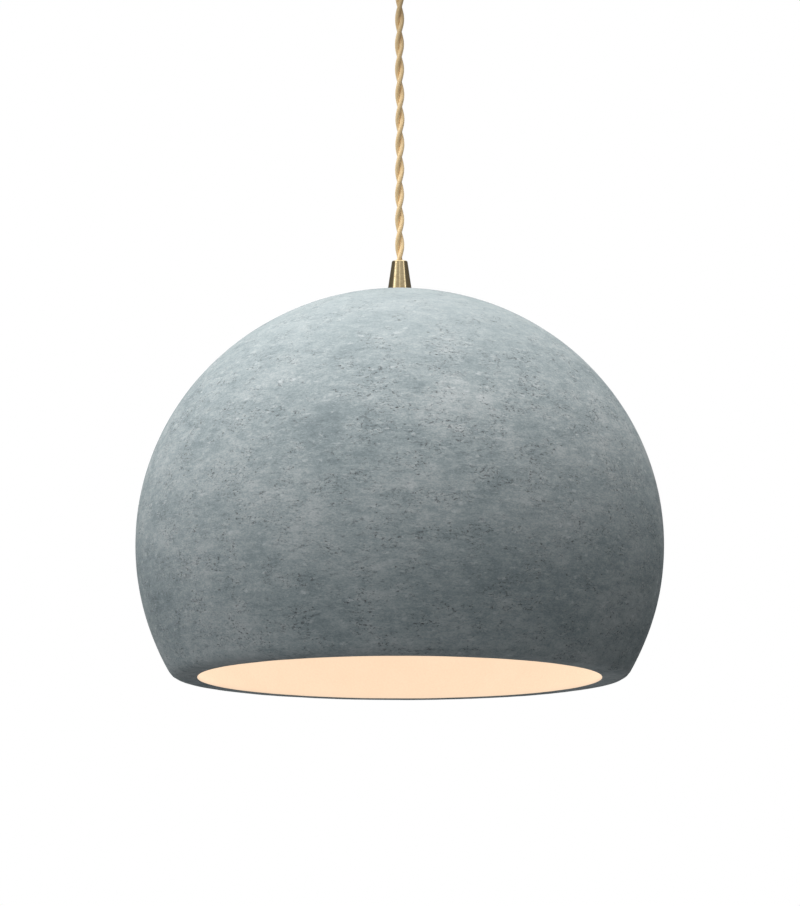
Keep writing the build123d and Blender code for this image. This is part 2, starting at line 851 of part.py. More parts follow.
# ---------------------------------------------------------------- ceiling end
def canopy():
    """The spun cup that covers the bracket, open towards the ceiling."""
    inner = canopy_radius - canopy_wall
    with BuildPart() as cup:
        with BuildSketch(Plane.XZ):
            with BuildLine():
                Polyline(
                    (tube_hole_radius, canopy_floor),
                    (canopy_radius, canopy_floor),
                    (canopy_radius, 0),
                    (inner, 0),
                    (inner, canopy_floor_top),
                    (tube_hole_radius, canopy_floor_top),
                    close=True,
                )
            make_face()
        revolve(axis=Axis.Z)
        circles = cup.edges().filter_by(GeomType.CIRCLE)
        fillet(circles.group_by(Axis.Z)[0].sort_by(SortBy.RADIUS)[-1], canopy_shoulder)
        circles = cup.edges().filter_by(GeomType.CIRCLE)
        inside = circles.filter_by_position(Axis.Z, canopy_floor_top - pick, canopy_floor_top + pick)
        fillet(inside.sort_by(SortBy.RADIUS)[-1], canopy_shoulder - canopy_wall)
        with Locations(Location((0, 0, -side_screw_level), (0, 90, 0))):
            Cylinder(side_screw_radius + side_screw_clearance, 3 * canopy_radius, mode=Mode.SUBTRACT)
    save(cup.part, "canopy")


def bracket():
    """The steel crossbar: slots for two ceiling screws, an ear at each end and a tab for terminals."""
    reach = canopy_radius - canopy_wall - bracket_ear_gap
    with BuildPart() as bar:
        with BuildSketch(Plane.XZ.offset(-bracket_width / 2)):
            with BuildLine():
                Polyline(
                    (-reach, 0),
                    (reach, 0),
                    (reach, -bracket_ear_height),
                    (reach - bracket_thickness, -bracket_ear_height),
                    (reach - bracket_thickness, -bracket_thickness),
                    (-reach + bracket_thickness, -bracket_thickness),
                    (-reach + bracket_thickness, -bracket_ear_height),
                    (-reach, -bracket_ear_height),
                    close=True,
                )
            make_face()
        extrude(amount=bracket_width)
        along_y = bar.edges().filter_by(Axis.Y)
        inner_bends = along_y.filter_by_position(Axis.Z, -bracket_thickness - pick, -bracket_thickness + pick)
        outer_bends = along_y.filter_by_position(Axis.Z, -pick, pick)
        fillet(inner_bends, bracket_bend)
        fillet(outer_bends, bracket_bend + bracket_thickness)
        with BuildSketch(Plane.XY):
            with Locations((0, (block_centre_y + tab_margin) / 2)):
                Rectangle(tab_width, block_centre_y + tab_margin)
        extrude(amount=-bracket_thickness)
        with BuildSketch(Plane.XY):
            with GridLocations(slot_spacing, 0, 2, 1):
                SlotOverall(slot_length, slot_width)
            with Locations((0, block_centre_y)):
                Circle(block_fixing_radius)
        extrude(amount=-bracket_thickness, mode=Mode.SUBTRACT)
        with Locations(Location((0, 0, -side_screw_level), (0, 90, 0))):
            Cylinder(side_screw_radius, 3 * canopy_radius, mode=Mode.SUBTRACT)
    save(bar.part, "ceiling_bracket")


def side_screws():
    """Two slotted screws that hold the canopy to the bracket's ears."""
    length = canopy_wall + bracket_ear_gap + bracket_thickness + side_screw_overrun
    with BuildPart() as screws:
        for turn in (0, 180):
            side = Location((0, 0, -side_screw_level), (0, 0, turn))
            with Locations(side * Location((canopy_radius, 0, 0), (0, 90, 0))):
                Cylinder(
                    side_screw_head_radius,
                    side_screw_head_height,
                    align=(Align.CENTER, Align.CENTER, Align.MIN),
                )
                Cylinder(side_screw_radius, length, align=(Align.CENTER, Align.CENTER, Align.MAX))
        ends = screws.edges().filter_by(GeomType.CIRCLE)
        reach = canopy_radius + side_screw_head_height
        outer = ends.filter_by_position(Axis.X, reach - pick, reach + pick)
        outer += ends.filter_by_position(Axis.X, -reach - pick, -reach + pick)
        fillet(outer, side_screw_head_edge)
        with Locations((reach, 0, -side_screw_level), (-reach, 0, -side_screw_level)):
            Box(
                2 * side_screw_slot_depth,
                3 * side_screw_head_radius,
                side_screw_slot_width,
                mode=Mode.SUBTRACT,
            )
    save(screws.part, "canopy_screws")


def canopy_fixings():
    """The upper cone, collet and threaded tube, clamped to the canopy's floor by a washer and nut."""
    tube_top = canopy_nut_top + canopy_tube_overrun
    save(grip_cone(canopy_floor, -1), "canopy_grip_cone")
    save(grip_collet(canopy_floor, -1), "canopy_grip_collet")
    save(ring(tube_radius, tube_bore_radius, canopy_floor - grip_thread_depth, tube_top), "canopy_tube")
    save(ring(canopy_washer_radius, tube_hole_radius, canopy_floor_top, canopy_washer_top), "canopy_washer")
    save(hex_nut(canopy_washer_top), "canopy_lock_nut")


def terminal_block():
    """The two-pole block under the bracket's tab, with brass tubes, clamp screws and its own fixing screw."""
    top = -bracket_thickness
    low = top - block_height
    wire_level = top - block_height * block_wire_share
    poles = [pole_width * (i - (pole_count - 1) / 2) for i in range(pole_count)]
    screw_rows = [block_centre_y + side * block_screw_spread / 2 for side in (-1, 1)]
    screw_spots = [(x, y) for x in poles for y in screw_rows]
    with BuildPart() as block:
        with BuildSketch(Plane.XY.offset(low)):
            with Locations((0, block_centre_y)):
                Rectangle(pole_width * pole_count + block_margin, block_depth)
        extrude(amount=block_height)
        fillet(block.edges().filter_by(Axis.Z), block_edge)
        for x in poles:
            with Locations(Location((x, block_centre_y, wire_level), (90, 0, 0))):
                Cylinder(block_tube_radius, 2 * block_depth, mode=Mode.SUBTRACT)
        for x, y in screw_spots:
            with Locations((x, y, low)):
                Cylinder(block_screw_radius + block_screw_clearance, block_height, mode=Mode.SUBTRACT)
        with Locations((0, block_centre_y, top)):
            Cylinder(block_fixing_radius + block_fixing_clearance, 3 * block_height, mode=Mode.SUBTRACT)
    save(block.part, "terminal_block")

    tube_length = block_depth - 2 * block_tube_inset
    with BuildPart() as tubes:
        for x in poles:
            with Locations(Location((x, block_centre_y, wire_level), (90, 0, 0))):
                Cylinder(block_tube_radius, tube_length)
                Cylinder(block_tube_bore, tube_length, mode=Mode.SUBTRACT)
        for x, y in screw_spots:
            with Locations((x, y, wire_level)):
                Cylinder(
                    block_screw_radius,
                    block_height,
                    align=(Align.CENTER, Align.CENTER, Align.MAX),
                    mode=Mode.SUBTRACT,
                )
    save(tubes.part, "terminal_tubes")

    screw_start = low + block_screw_sink
    with BuildPart() as screws:
        for x, y in screw_spots:
            with Locations((x, y, screw_start)):
                Cylinder(
                    block_screw_radius,
                    wire_level - core_radius - screw_start,
                    align=(Align.CENTER, Align.CENTER, Align.MIN),
                )
        for x, y in screw_spots:
            with Locations((x, y, screw_start)):
                Box(
                    3 * block_screw_radius,
                    block_screw_slot_width,
                    2 * block_screw_slot_depth,
                    mode=Mode.SUBTRACT,
                )
    save(screws.part, "terminal_screws")

    with BuildPart() as fixing:
        with Locations((0, block_centre_y, low)):
            Cylinder(
                block_fixing_radius,
                block_height + bracket_thickness,
                align=(Align.CENTER, Align.CENTER, Align.MIN),
            )
            Cylinder(
                block_fixing_head_radius,
                block_fixing_head_height,
                align=(Align.CENTER, Align.CENTER, Align.MAX),
            )
        with Locations((0, block_centre_y, low - block_fixing_head_height)):
            Box(
                3 * block_fixing_head_radius,
                block_fixing_slot_width,
                2 * block_fixing_slot_depth,
                mode=Mode.SUBTRACT,
            )
    save(fixing.part, "terminal_block_screw")

    entry = block_centre_y - block_depth / 2
    clamped = block_centre_y - block_screw_spread / 2 + 2 * block_screw_radius
    for x, side, label in zip(poles, (-1, 1), ("supply_lead_neutral", "supply_lead_live")):
        route = [
            (side * core_offset, 0, supply_end),
            (side * core_offset, 0, wire_level),
            (x, entry - supply_lead_run, wire_level),
            (x, clamped, wire_level),
        ]
        save(tube_along(route, supply_lead_bend, core_radius), label)


shade()
shade_fixings()
cord()
holder_cap()
holder_grub_screw()
holder_skirt()
holder_insert()
holder_contacts()
holder_leads()
thread_shell()
bulb_cap()
bulb_ends()
bulb_glass()
bulb_inside()
canopy()
bracket()
side_screws()
canopy_fixings()
terminal_block()
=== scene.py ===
from math import acos, atan2, cos, hypot, pi, sin, sqrt, tau

import bpy
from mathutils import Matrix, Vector


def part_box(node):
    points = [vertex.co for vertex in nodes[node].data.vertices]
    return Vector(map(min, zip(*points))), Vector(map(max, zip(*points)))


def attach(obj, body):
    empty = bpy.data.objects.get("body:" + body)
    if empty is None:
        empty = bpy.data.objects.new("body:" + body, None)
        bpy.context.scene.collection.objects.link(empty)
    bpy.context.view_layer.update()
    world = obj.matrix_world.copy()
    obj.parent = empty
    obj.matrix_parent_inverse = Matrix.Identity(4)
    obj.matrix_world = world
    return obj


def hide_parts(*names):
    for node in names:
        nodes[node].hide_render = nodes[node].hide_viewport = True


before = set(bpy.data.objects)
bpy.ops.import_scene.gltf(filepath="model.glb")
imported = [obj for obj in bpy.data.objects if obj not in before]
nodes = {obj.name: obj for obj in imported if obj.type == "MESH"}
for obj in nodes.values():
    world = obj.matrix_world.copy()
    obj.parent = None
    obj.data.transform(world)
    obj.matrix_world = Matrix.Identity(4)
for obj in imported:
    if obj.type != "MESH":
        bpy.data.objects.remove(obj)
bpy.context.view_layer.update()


# ---------------------------------------------------------------- ceiling bracket
# A bent crossbar of 2 mm steel strip, stamped with two slots and a tab, then zinc plated in a barrel.
# It is screwed to the ceiling and carries the canopy on two side screws.
class Signal:
    """A socket in a node tree. Arithmetic on it adds Math nodes, and make() adds any other node."""

    def __init__(self, tree, socket=None):
        self.tree = tree
        self.socket = socket

    def make(self, kind, settings=None, sockets=None, output=0):
        node = self.tree.nodes.new(kind)
        for name, value in (settings or {}).items():
            if name == "stops":
                elements = node.color_ramp.elements
                while len(elements) < len(value):
                    elements.new(0.5)
                for element, (position, colour) in zip(elements, value):
                    element.position = position
                    element.color = (*colour, 1.0)
            else:
                setattr(node, name, value)
        for name, value in (sockets or {}).items():
            if isinstance(value, Signal):
                self.tree.links.new(value.socket, node.inputs[name])
            else:
                node.inputs[name].default_value = value
        return Signal(self.tree, node.outputs[output])

    def math(self, operation, first, second=0.0):
        return self.make("ShaderNodeMath", {"operation": operation}, {0: first, 1: second})

    def __add__(self, other):
        return self.math("ADD", self, other)

    __radd__ = __add__

    def __sub__(self, other):
        return self.math("SUBTRACT", self, other)

    def __rsub__(self, other):
        return self.math("SUBTRACT", other, self)

    def __mul__(self, other):
        return self.math("MULTIPLY", self, other)

    __rmul__ = __mul__

    def __pow__(self, other):
        return self.math("POWER", self, other)


def new_finish(name, **constants):
    """A material, its node tree as a Signal and its shader, which holds the constants."""
    material = bpy.data.materials.new(name)
    material.use_nodes = True
    shader = material.node_tree.nodes["Principled BSDF"]
    for label, value in constants.items():
        shader.inputs[label.replace("_", " ")].default_value = value
    return material, Signal(material.node_tree), shader


def feed(shader, **signals):
    """Links signals to the shader's sockets."""
    for label, signal in signals.items():
        signal.tree.links.new(signal.socket, shader.inputs[label.replace("_", " ")])


def place(graph, stretch=(1.0, 1.0, 1.0)):
    """Object coordinates in metres, stretched along the axes."""
    where = graph.make("ShaderNodeTexCoord", output="Object")
    return graph.make("ShaderNodeVectorMath", {"operation": "MULTIPLY"}, {0: where, 1: stretch})


def noise(graph, size, detail=3.0, stretch=(1.0, 1.0, 1.0), roughness=0.55):
    """Cloudy noise from 0 to 1 with features of that size in metres."""
    sockets = {"Vector": place(graph, stretch), "Scale": 1 / size, "Detail": detail, "Roughness": roughness}
    return graph.make("ShaderNodeTexNoise", None, sockets)


def cells(graph, size, stretch=(1.0, 1.0, 1.0), output="Distance"):
    """Distance to, or colour of, the nearest of scattered points, about that size apart."""
    sockets = {"Vector": place(graph, stretch), "Scale": 1 / size}
    return graph.make("ShaderNodeTexVoronoi", None, sockets, output)


def ease(signal, low, high, start=0.0, end=1.0):
    """The signal moved smoothly from low to high on to start to end."""
    sockets = {"Value": signal, "From Min": low, "From Max": high, "To Min": start, "To Max": end}
    return signal.make("ShaderNodeMapRange", {"interpolation_type": "SMOOTHSTEP"}, sockets)


def blend(factor, first, second, kind="MIX"):
    """Two colours mixed by a factor."""
    settings = {"data_type": "RGBA", "blend_type": kind}
    return factor.make("ShaderNodeMix", settings, {0: factor, 6: first, 7: second}, 2)


def relief(height, depth, strength=1.0):
    """A bump of that depth in metres."""
    return height.make("ShaderNodeBump", None, {"Height": height, "Distance": depth, "Strength": strength})


def dress(material, *names):
    """Gives CAD nodes a material in their own slots."""
    for name in names:
        for socket in nodes[name].material_slots:
            socket.material = material


def metal(name, bright, dull, smooth, rough, grain, stretch, depth):
    """A metal whose grain and tarnish vary its colour, its gloss and its surface."""
    material, graph, shader = new_finish(name, Metallic=1.0)
    lines = noise(graph, grain, 2.0, stretch)
    tarnish = noise(graph, 14 * grain, 4.0)
    wear = ease(lines * 0.45 + tarnish * 0.55, 0.38, 0.62)
    feed(shader, Base_Color=blend(wear, (*dull, 1), (*bright, 1)))
    feed(shader, Roughness=ease(lines + tarnish, 0.7, 1.3, rough, smooth))
    feed(shader, Normal=relief(lines, depth))
    return material


zinc, graph, shader = new_finish("zinc_on_steel", Metallic=1.0)
spangle = graph.make("ShaderNodeRGBToBW", None, {0: cells(graph, 0.0045, output="Color")})
haze = noise(graph, 0.012, 4.0)
cloudy = ease(spangle * 0.5 + haze * 0.5, 0.3, 0.7)
feed(shader, Base_Color=blend(cloudy, (0.42, 0.44, 0.46, 1), (0.66, 0.67, 0.68, 1)))
feed(shader, Roughness=ease(spangle, 0.2, 0.8, 0.34, 0.52))
feed(shader, Normal=relief(noise(graph, 0.0006), 0.00003))
dress(zinc, "ceiling_bracket")


# ---------------------------------------------------------------- canopy
# A cup spun from 1 mm brass, satin polished on the lathe and left to age a little. It hangs on two
# slotted side screws. A threaded tube, washer and lock nut in its floor hold the upper cord grip.
satin_brass = metal(
    "satin_brass",
    bright=(0.77, 0.63, 0.38),
    dull=(0.57, 0.45, 0.26),
    smooth=0.13,
    rough=0.22,
    grain=0.0004,
    stretch=(0.1, 0.1, 1.0),
    depth=0.000004,
)
dress(satin_brass, "canopy", "canopy_grip_cone", "shade_grip_cone")

bright_steel = metal(
    "bright_screw_steel",
    bright=(0.74, 0.74, 0.74),
    dull=(0.46, 0.46, 0.47),
    smooth=0.18,
    rough=0.34,
    grain=0.0003,
    stretch=(1.0, 1.0, 1.0),
    depth=0.00001,
)
dress(bright_steel, "canopy_screws", "terminal_block_screw", "terminal_screws")

plated_steel = metal(
    "yellow_plated_steel",
    bright=(0.66, 0.58, 0.36),
    dull=(0.42, 0.36, 0.24),
    smooth=0.22,
    rough=0.36,
    grain=0.0005,
    stretch=(0.3, 0.3, 1.0),
    depth=0.00001,
)
dress(plated_steel, "canopy_tube", "canopy_washer", "canopy_lock_nut")


# ---------------------------------------------------------------- terminal block and supply leads
# A two-pole block moulded in natural polyamide, with brass tubes and steel clamp screws. The cord's
# two cores reach it, one in brown and one in blue insulation.
def moulded(name, colour, fleck, low, high, grain=0.0012, **constants):
    """A moulded plastic: slightly uneven colour, a fine skin and small flow marks."""
    material, graph, shader = new_finish(name, **constants)
    flow = noise(graph, 9 * grain, 3.0, (1.0, 1.0, 0.5))
    skin = noise(graph, grain / 3, 2.0)
    feed(shader, Base_Color=blend(ease(flow * 0.7 + skin * 0.3, 0.35, 0.65), (*colour, 1), (*fleck, 1)))
    feed(shader, Roughness=ease(flow + skin, 0.75, 1.25, low, high))
    feed(shader, Normal=relief(skin, 0.00002))
    return material


block_plastic = moulded(
    "natural_polyamide",
    (0.80, 0.79, 0.73),
    (0.88, 0.87, 0.83),
    0.36,
    0.5,
    Subsurface_Weight=0.15,
    Subsurface_Radius=(0.004, 0.004, 0.003),
)
dress(block_plastic, "terminal_block", "canopy_grip_collet", "shade_grip_collet")

contact_brass = metal(
    "stamped_contact_brass",
    bright=(0.78, 0.62, 0.34),
    dull=(0.52, 0.38, 0.18),
    smooth=0.2,
    rough=0.4,
    grain=0.0003,
    stretch=(1.0, 0.2, 1.0),
    depth=0.00001,
)
dress(contact_brass, "terminal_tubes")

brown_insulation = moulded("brown_insulation", (0.13, 0.055, 0.025), (0.17, 0.075, 0.035), 0.3, 0.42)
dress(brown_insulation, "supply_lead_live", "lampholder_lead_live")
blue_insulation = moulded("blue_insulation", (0.02, 0.09, 0.36), (0.035, 0.12, 0.42), 0.3, 0.42)
dress(blue_insulation, "supply_lead_neutral", "lampholder_lead_neutral")


# ---------------------------------------------------------------- twisted cord
# Two insulated cores, each in its own sleeve of gold-beige rayon braid, laid together in a right-handed
# twist. The free stretch hangs straight between the two brass cones and carries the whole shade.
cord_diameter = 0.007
strand_radius = cord_diameter / 4
twist_pitch = 0.0389
first_turn = 0.264  # where the strands lie at the ceiling plane
braid_relief = 0.00009
yarns = 8.0
yarn_pitch = 0.0017
ring_points = 48
ring_step = 0.00036
tuck = 0.0012  # how far each stretch runs on inside a cone's mouth

material, graph, shader = new_finish(
    "rayon_braid",
    Sheen_Weight=0.35,
    Sheen_Roughness=0.35,
    Specular_IOR_Level=0.35,
)
rayon_braid = material
raised = graph.make("ShaderNodeAttribute", {"attribute_name": "raised"}, output="Fac")
thread = graph.make("ShaderNodeAttribute", {"attribute_name": "thread"}, output="Fac")
dye = noise(graph, 0.004, 3.0, (1.0, 1.0, 0.35))
filament = noise(graph, 0.00022, 2.0)
gold = blend(ease(dye + thread * 0.5, 0.45, 1.0), (0.90, 0.62, 0.29, 1), (0.99, 0.75, 0.42, 1))
# Darker colour where the braid lies low, between and under the yarns: painted shade in the crevices.
painted_crevice_shade = blend(ease(raised, 0.05, 0.75), (0.80, 0.52, 0.23, 1), gold)
feed(shader, Base_Color=blend(ease(filament, 0.3, 0.7, 0.0, 0.35), painted_crevice_shade, (0.97, 0.80, 0.54, 1)))
feed(shader, Roughness=ease(raised, 0.0, 1.0, 0.75, 0.42))
feed(shader, Normal=relief(filament, 0.00002))


def socket(tree, label, kind, side="INPUT"):
    """A named input or output of a geometry tree."""
    return tree.interface.new_socket(name=label, in_out=side, socket_type=kind)


def add_tree(holder, tree, values):
    """Puts a geometry tree on an object and sets its named inputs by their sockets' identifiers."""
    modifier = holder.modifiers.new(tree.name, "NODES")
    modifier.node_group = tree
    for item in tree.interface.items_tree:
        if item.name in values:
            modifier[item.identifier] = values[item.name]


twist_sizes = {
    "Strand Radius": strand_radius,
    "Twist Pitch": twist_pitch,
    "First Turn": first_turn,
    "Braid Relief": braid_relief,
    "Yarns": yarns,
    "Yarn Pitch": yarn_pitch,
    "Step": ring_step,
}
twist_tree = bpy.data.node_groups.new("twisted_pair", "GeometryNodeTree")
socket(twist_tree, "Route", "NodeSocketGeometry")
for label in twist_sizes:
    socket(twist_tree, label, "NodeSocketFloat")
socket(twist_tree, "Cord", "NodeSocketGeometry", side="OUTPUT")
start = twist_tree.nodes.new("NodeGroupInput")
lay = Signal(twist_tree)
given = {item.name: Signal(twist_tree, item) for item in start.outputs if item.name}


def stored(shape, name, value):
    """Keeps a number on each point under a name, for the later nodes and the material."""
    sockets = {"Geometry": shape, "Name": name, "Value": value}
    return shape.make("GeometryNodeStoreNamedAttribute", {"data_type": "FLOAT", "domain": "POINT"}, sockets)


def recalled(name):
    """A number kept on the points earlier."""
    return lay.make("GeometryNodeInputNamedAttribute", {"data_type": "FLOAT"}, {"Name": name})


def bulge(share):
    """0 at both edges of a yarn and 1 in its middle."""
    return 1 - lay.math("ABSOLUTE", share * 2 - 1) ** 2.0


spacing = {"Curve": given["Route"], "Length": given["Step"]}
count = lay.make("GeometryNodeResampleCurve", {"mode": "LENGTH"}, spacing)
height = lay.make("ShaderNodeSeparateXYZ", None, {0: lay.make("GeometryNodeInputPosition")}, "Z")
strands = []
for side in (0.0, pi):
    turn = lay.math("DIVIDE", height, given["Twist Pitch"]) * tau + given["First Turn"] + side
    across = {
        0: lay.math("COSINE", turn) * given["Strand Radius"],
        1: lay.math("SINE", turn) * given["Strand Radius"],
    }
    offset = lay.make("ShaderNodeCombineXYZ", None, across)
    laid = lay.make("GeometryNodeSetPosition", None, {"Geometry": count, "Offset": offset})
    run = lay.make("GeometryNodeSplineParameter", output="Length")
    laid = stored(laid, "along", run)
    core = given["Strand Radius"] - given["Braid Relief"]
    ring = lay.make("GeometryNodeCurvePrimitiveCircle", None, {"Resolution": ring_points, "Radius": core})
    ring = stored(ring, "around", lay.make("GeometryNodeSplineParameter", output="Factor"))
    swept = {"Curve": laid, "Profile Curve": ring, "Fill Caps": True}
    sleeve = lay.make("GeometryNodeCurveToMesh", None, swept)
    climb = lay.math("DIVIDE", recalled("along"), given["Yarn Pitch"])
    left = recalled("around") * given["Yarns"] + climb
    right = recalled("around") * given["Yarns"] - climb
    over = lay.math("FLOORED_MODULO", lay.math("FLOOR", left) + lay.math("FLOOR", right), 2.0)
    left_yarn = bulge(lay.math("FRACT", left))
    right_yarn = bulge(lay.math("FRACT", right + 1000.0))
    top = left_yarn * (1 - over) + right_yarn * over
    end = left_yarn * over + right_yarn * (1 - over)
    sleeve = stored(sleeve, "raised", top * (end * 0.45 + 0.55))
    sleeve = stored(sleeve, "thread", over)
    push = lay.make(
        "ShaderNodeVectorMath",
        {"operation": "SCALE"},
        {0: lay.make("GeometryNodeInputNormal"), "Scale": recalled("raised") * given["Braid Relief"]},
    )
    strands.append(lay.make("GeometryNodeSetPosition", None, {"Geometry": sleeve, "Offset": push}))
joined = twist_tree.nodes.new("GeometryNodeJoinGeometry")
for strand in reversed(strands):
    twist_tree.links.new(strand.socket, joined.inputs[0])
whole = lay.make("GeometryNodeRealizeInstances", None, {0: Signal(twist_tree, joined.outputs[0])})
whole = lay.make("GeometryNodeSetShadeSmooth", None, {"Geometry": whole})
whole = lay.make("GeometryNodeSetMaterial", None, {"Geometry": whole, "Material": rayon_braid})
twist_tree.links.new(whole.socket, twist_tree.nodes.new("NodeGroupOutput").inputs[0])


def plain_mesh(name, holder):
    """The evaluated shape of an object as a mesh of its own, without modifiers."""
    graph_now = bpy.context.evaluated_depsgraph_get()
    evaluated = holder.evaluated_get(graph_now)
    mesh = bpy.data.meshes.new_from_object(evaluated, preserve_all_data_layers=True, depsgraph=graph_now)
    mesh.name = name
    made = bpy.data.objects.new(name, mesh)
    bpy.context.collection.objects.link(made)
    return made


def twisted(name, points):
    """A stretch of twisted cord along a smooth route. Returns it and the route's own line."""
    curve = bpy.data.curves.new(name + "_route", "CURVE")
    curve.dimensions = "3D"
    curve.resolution_u = 12
    spline = curve.splines.new("NURBS")
    spline.points.add(len(points) - 1)
    for control, point in zip(spline.points, points):
        control.co = (*point, 1.0)
    spline.order_u = 3
    spline.use_endpoint_u = True
    route = bpy.data.objects.new(name + "_route", curve)
    bpy.context.collection.objects.link(route)
    bpy.context.view_layer.update()
    line = bpy.data.meshes.new_from_object(route)
    path = [vertex.co.copy() for vertex in line.vertices]
    bpy.data.meshes.remove(line)
    add_tree(route, twist_tree, twist_sizes)
    piece = plain_mesh(name, route)
    bpy.data.objects.remove(route)
    return piece, path


upper_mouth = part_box("canopy_grip_cone")[0][2]
lower_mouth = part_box("shade_grip_cone")[1][2]
supply_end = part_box("cord_in_canopy")[1][2]
holder_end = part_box("cord_in_shade_tube")[0][2]

free_cord, free_path = twisted(
    "twisted_cord",
    [
        (0.0, 0.0, upper_mouth + tuck),
        (0.0, 0.0, -0.072),
        (-0.0003, 0.0002, -0.108),
        (0.0003, 0.0, -0.158),
        (-0.0002, -0.0002, -0.208),
        (0.0, 0.0, -0.246),
        (0.0, 0.0, lower_mouth - tuck),
    ],
)
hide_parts("suspension_cord", "cord_bend_upper", "cord_bend_lower")
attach(free_cord, "cord")

supply_cord, _ = twisted("cord_inside_canopy", [(0.0, 0.0, upper_mouth - tuck), (0.0, 0.0, supply_end)])
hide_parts("cord_in_canopy")
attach(supply_cord, "ceiling")

holder_cord, _ = twisted("cord_inside_shade_tube", [(0.0, 0.0, lower_mouth + tuck), (0.0, 0.0, holder_end)])
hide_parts("cord_in_shade_tube")
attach(holder_cord, "shade")


# ---------------------------------------------------------------- clamp stack on the crown
# Plated tube, load washer and lock nut inside the dome, with black rubber discs against the shell
# so that the brass cone and the steel washer do not mark it.
dress(plated_steel, "shade_tube", "load_washer", "shade_lock_nut")
black_rubber = moulded("black_rubber", (0.018, 0.018, 0.018), (0.034, 0.034, 0.033), 0.62, 0.8, 0.0008)
dress(black_rubber, "crown_gasket", "inner_gasket")


# ---------------------------------------------------------------- shade
# One thick moulding of paper pulp and fine mineral filler, pressed over a former, skimmed by hand and
# left matt, so it reads as cast concrete: cloudy, with pinholes, pale flecks and faint level streaks.
# The hollow is painted up to the edge of the opening; its warm white is a painted glow that stands in for the
# bulb's light.
low_corner, high_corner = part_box("shade")
side_radius = high_corner[0]
rim_level = low_corner[2]
crown_level = high_corner[2]
equator_level = rim_level + 0.101
opening_radius = 0.150
rim_radius = 0.1713
rim_corner = 0.010
rim_edge = 0.0012
wall = 0.009
crown_wall = 0.010
crown_flat = 0.026
seat_flat = 0.020
tube_hole = 0.00525
profile_step = 0.0034
segments = 384


def steps_for(length):
    """How many steps of the shade's mesh that length takes."""
    return max(2, round(length / profile_step))


def sweep(centre, across, up, begin, finish):
    """Points on an ellipse about a centre, from one angle to another, in (radius, height)."""
    count = steps_for(abs(finish - begin) * (across + up) / 2)
    angles = [begin + (finish - begin) * i / count for i in range(count + 1)]
    return [(centre[0] + across * cos(a), centre[1] + up * sin(a)) for a in angles]


def straight(begin, finish):
    """Points along a straight run, in (radius, height)."""
    count = steps_for(hypot(finish[0] - begin[0], finish[1] - begin[1]))
    return [tuple(b + (f - b) * i / count for b, f in zip(begin, finish)) for i in range(count + 1)]


def tangent_arc(side, reach, rise):
    """Radius of the arc that leaves radius side upright and meets radius reach that far below."""
    return ((side - reach) ** 2 + rise**2) / (2 * (side - reach))


inner_radius = side_radius - wall
rise = equator_level - rim_level
outer_up = (crown_level - equator_level) / sqrt(1 - (crown_flat / side_radius) ** 2)
inner_up = (crown_level - crown_wall - equator_level) / sqrt(1 - (seat_flat / inner_radius) ** 2)

outer_arc = tangent_arc(side_radius, rim_radius, rise)
outer_x = side_radius - outer_arc
corner_z = rim_level + rim_corner
corner_x = outer_x + sqrt((outer_arc - rim_corner) ** 2 - (equator_level - corner_z) ** 2)
corner_angle = atan2(corner_z - equator_level, corner_x - outer_x)

inner_arc = tangent_arc(inner_radius, opening_radius, rise)
inner_x = inner_radius - inner_arc
edge_z = rim_level + rim_edge
edge_x = inner_x + sqrt((inner_arc + rim_edge) ** 2 - (equator_level - edge_z) ** 2)
edge_angle = atan2(edge_z - equator_level, edge_x - inner_x)

skin = [
    *straight((tube_hole, crown_level), (crown_flat, crown_level)),
    *sweep((0.0, equator_level), side_radius, outer_up, acos(crown_flat / side_radius), 0.0)[1:],
    *sweep((outer_x, equator_level), outer_arc, outer_arc, 0.0, corner_angle)[1:],
    *sweep((corner_x, corner_z), rim_corner, rim_corner, corner_angle, -pi / 2)[1:],
    *straight((corner_x, rim_level), (edge_x, rim_level))[1:],
]
inside = [
    *sweep((edge_x, edge_z), rim_edge, rim_edge, -pi / 2, edge_angle - pi)[1:],
    *sweep((inner_x, equator_level), inner_arc, inner_arc, edge_angle, 0.0)[1:],
    *sweep((0.0, equator_level), inner_radius, inner_up, 0.0, acos(seat_flat / inner_radius))[1:],
    *straight((seat_flat, crown_level - crown_wall), (tube_hole, crown_level - crown_wall))[1:],
]
profile = skin + inside
corners = [
    (radius * cos(tau * k / segments), radius * sin(tau * k / segments), z)
    for radius, z in profile
    for k in range(segments)
]
faces = []
for i in range(len(profile)):
    a, b = i * segments, (i + 1) % len(profile) * segments
    faces += [(a + k, b + k, b + (k + 1) % segments, a + (k + 1) % segments) for k in range(segments)]
blank_mesh = bpy.data.meshes.new("shade_blank")
blank_mesh.from_pydata(corners, [], faces)
painted = blank_mesh.attributes.new("painted", "FLOAT", "FACE")
first_painted = len(skin) - 1
last_painted = len(profile) - 2
is_painted = [float(first_painted <= i <= last_painted) for i in range(len(profile)) for _ in range(segments)]
painted.data.foreach_set("value", is_painted)
blank_mesh.validate()
blank = bpy.data.objects.new("shade_blank", blank_mesh)
bpy.context.collection.objects.link(blank)


def height_on(graph):
    """Height in metres, read from the object's own coordinates."""
    where = graph.make("ShaderNodeTexCoord", output="Object")
    return graph.make("ShaderNodeSeparateXYZ", None, {0: where}, "Z")
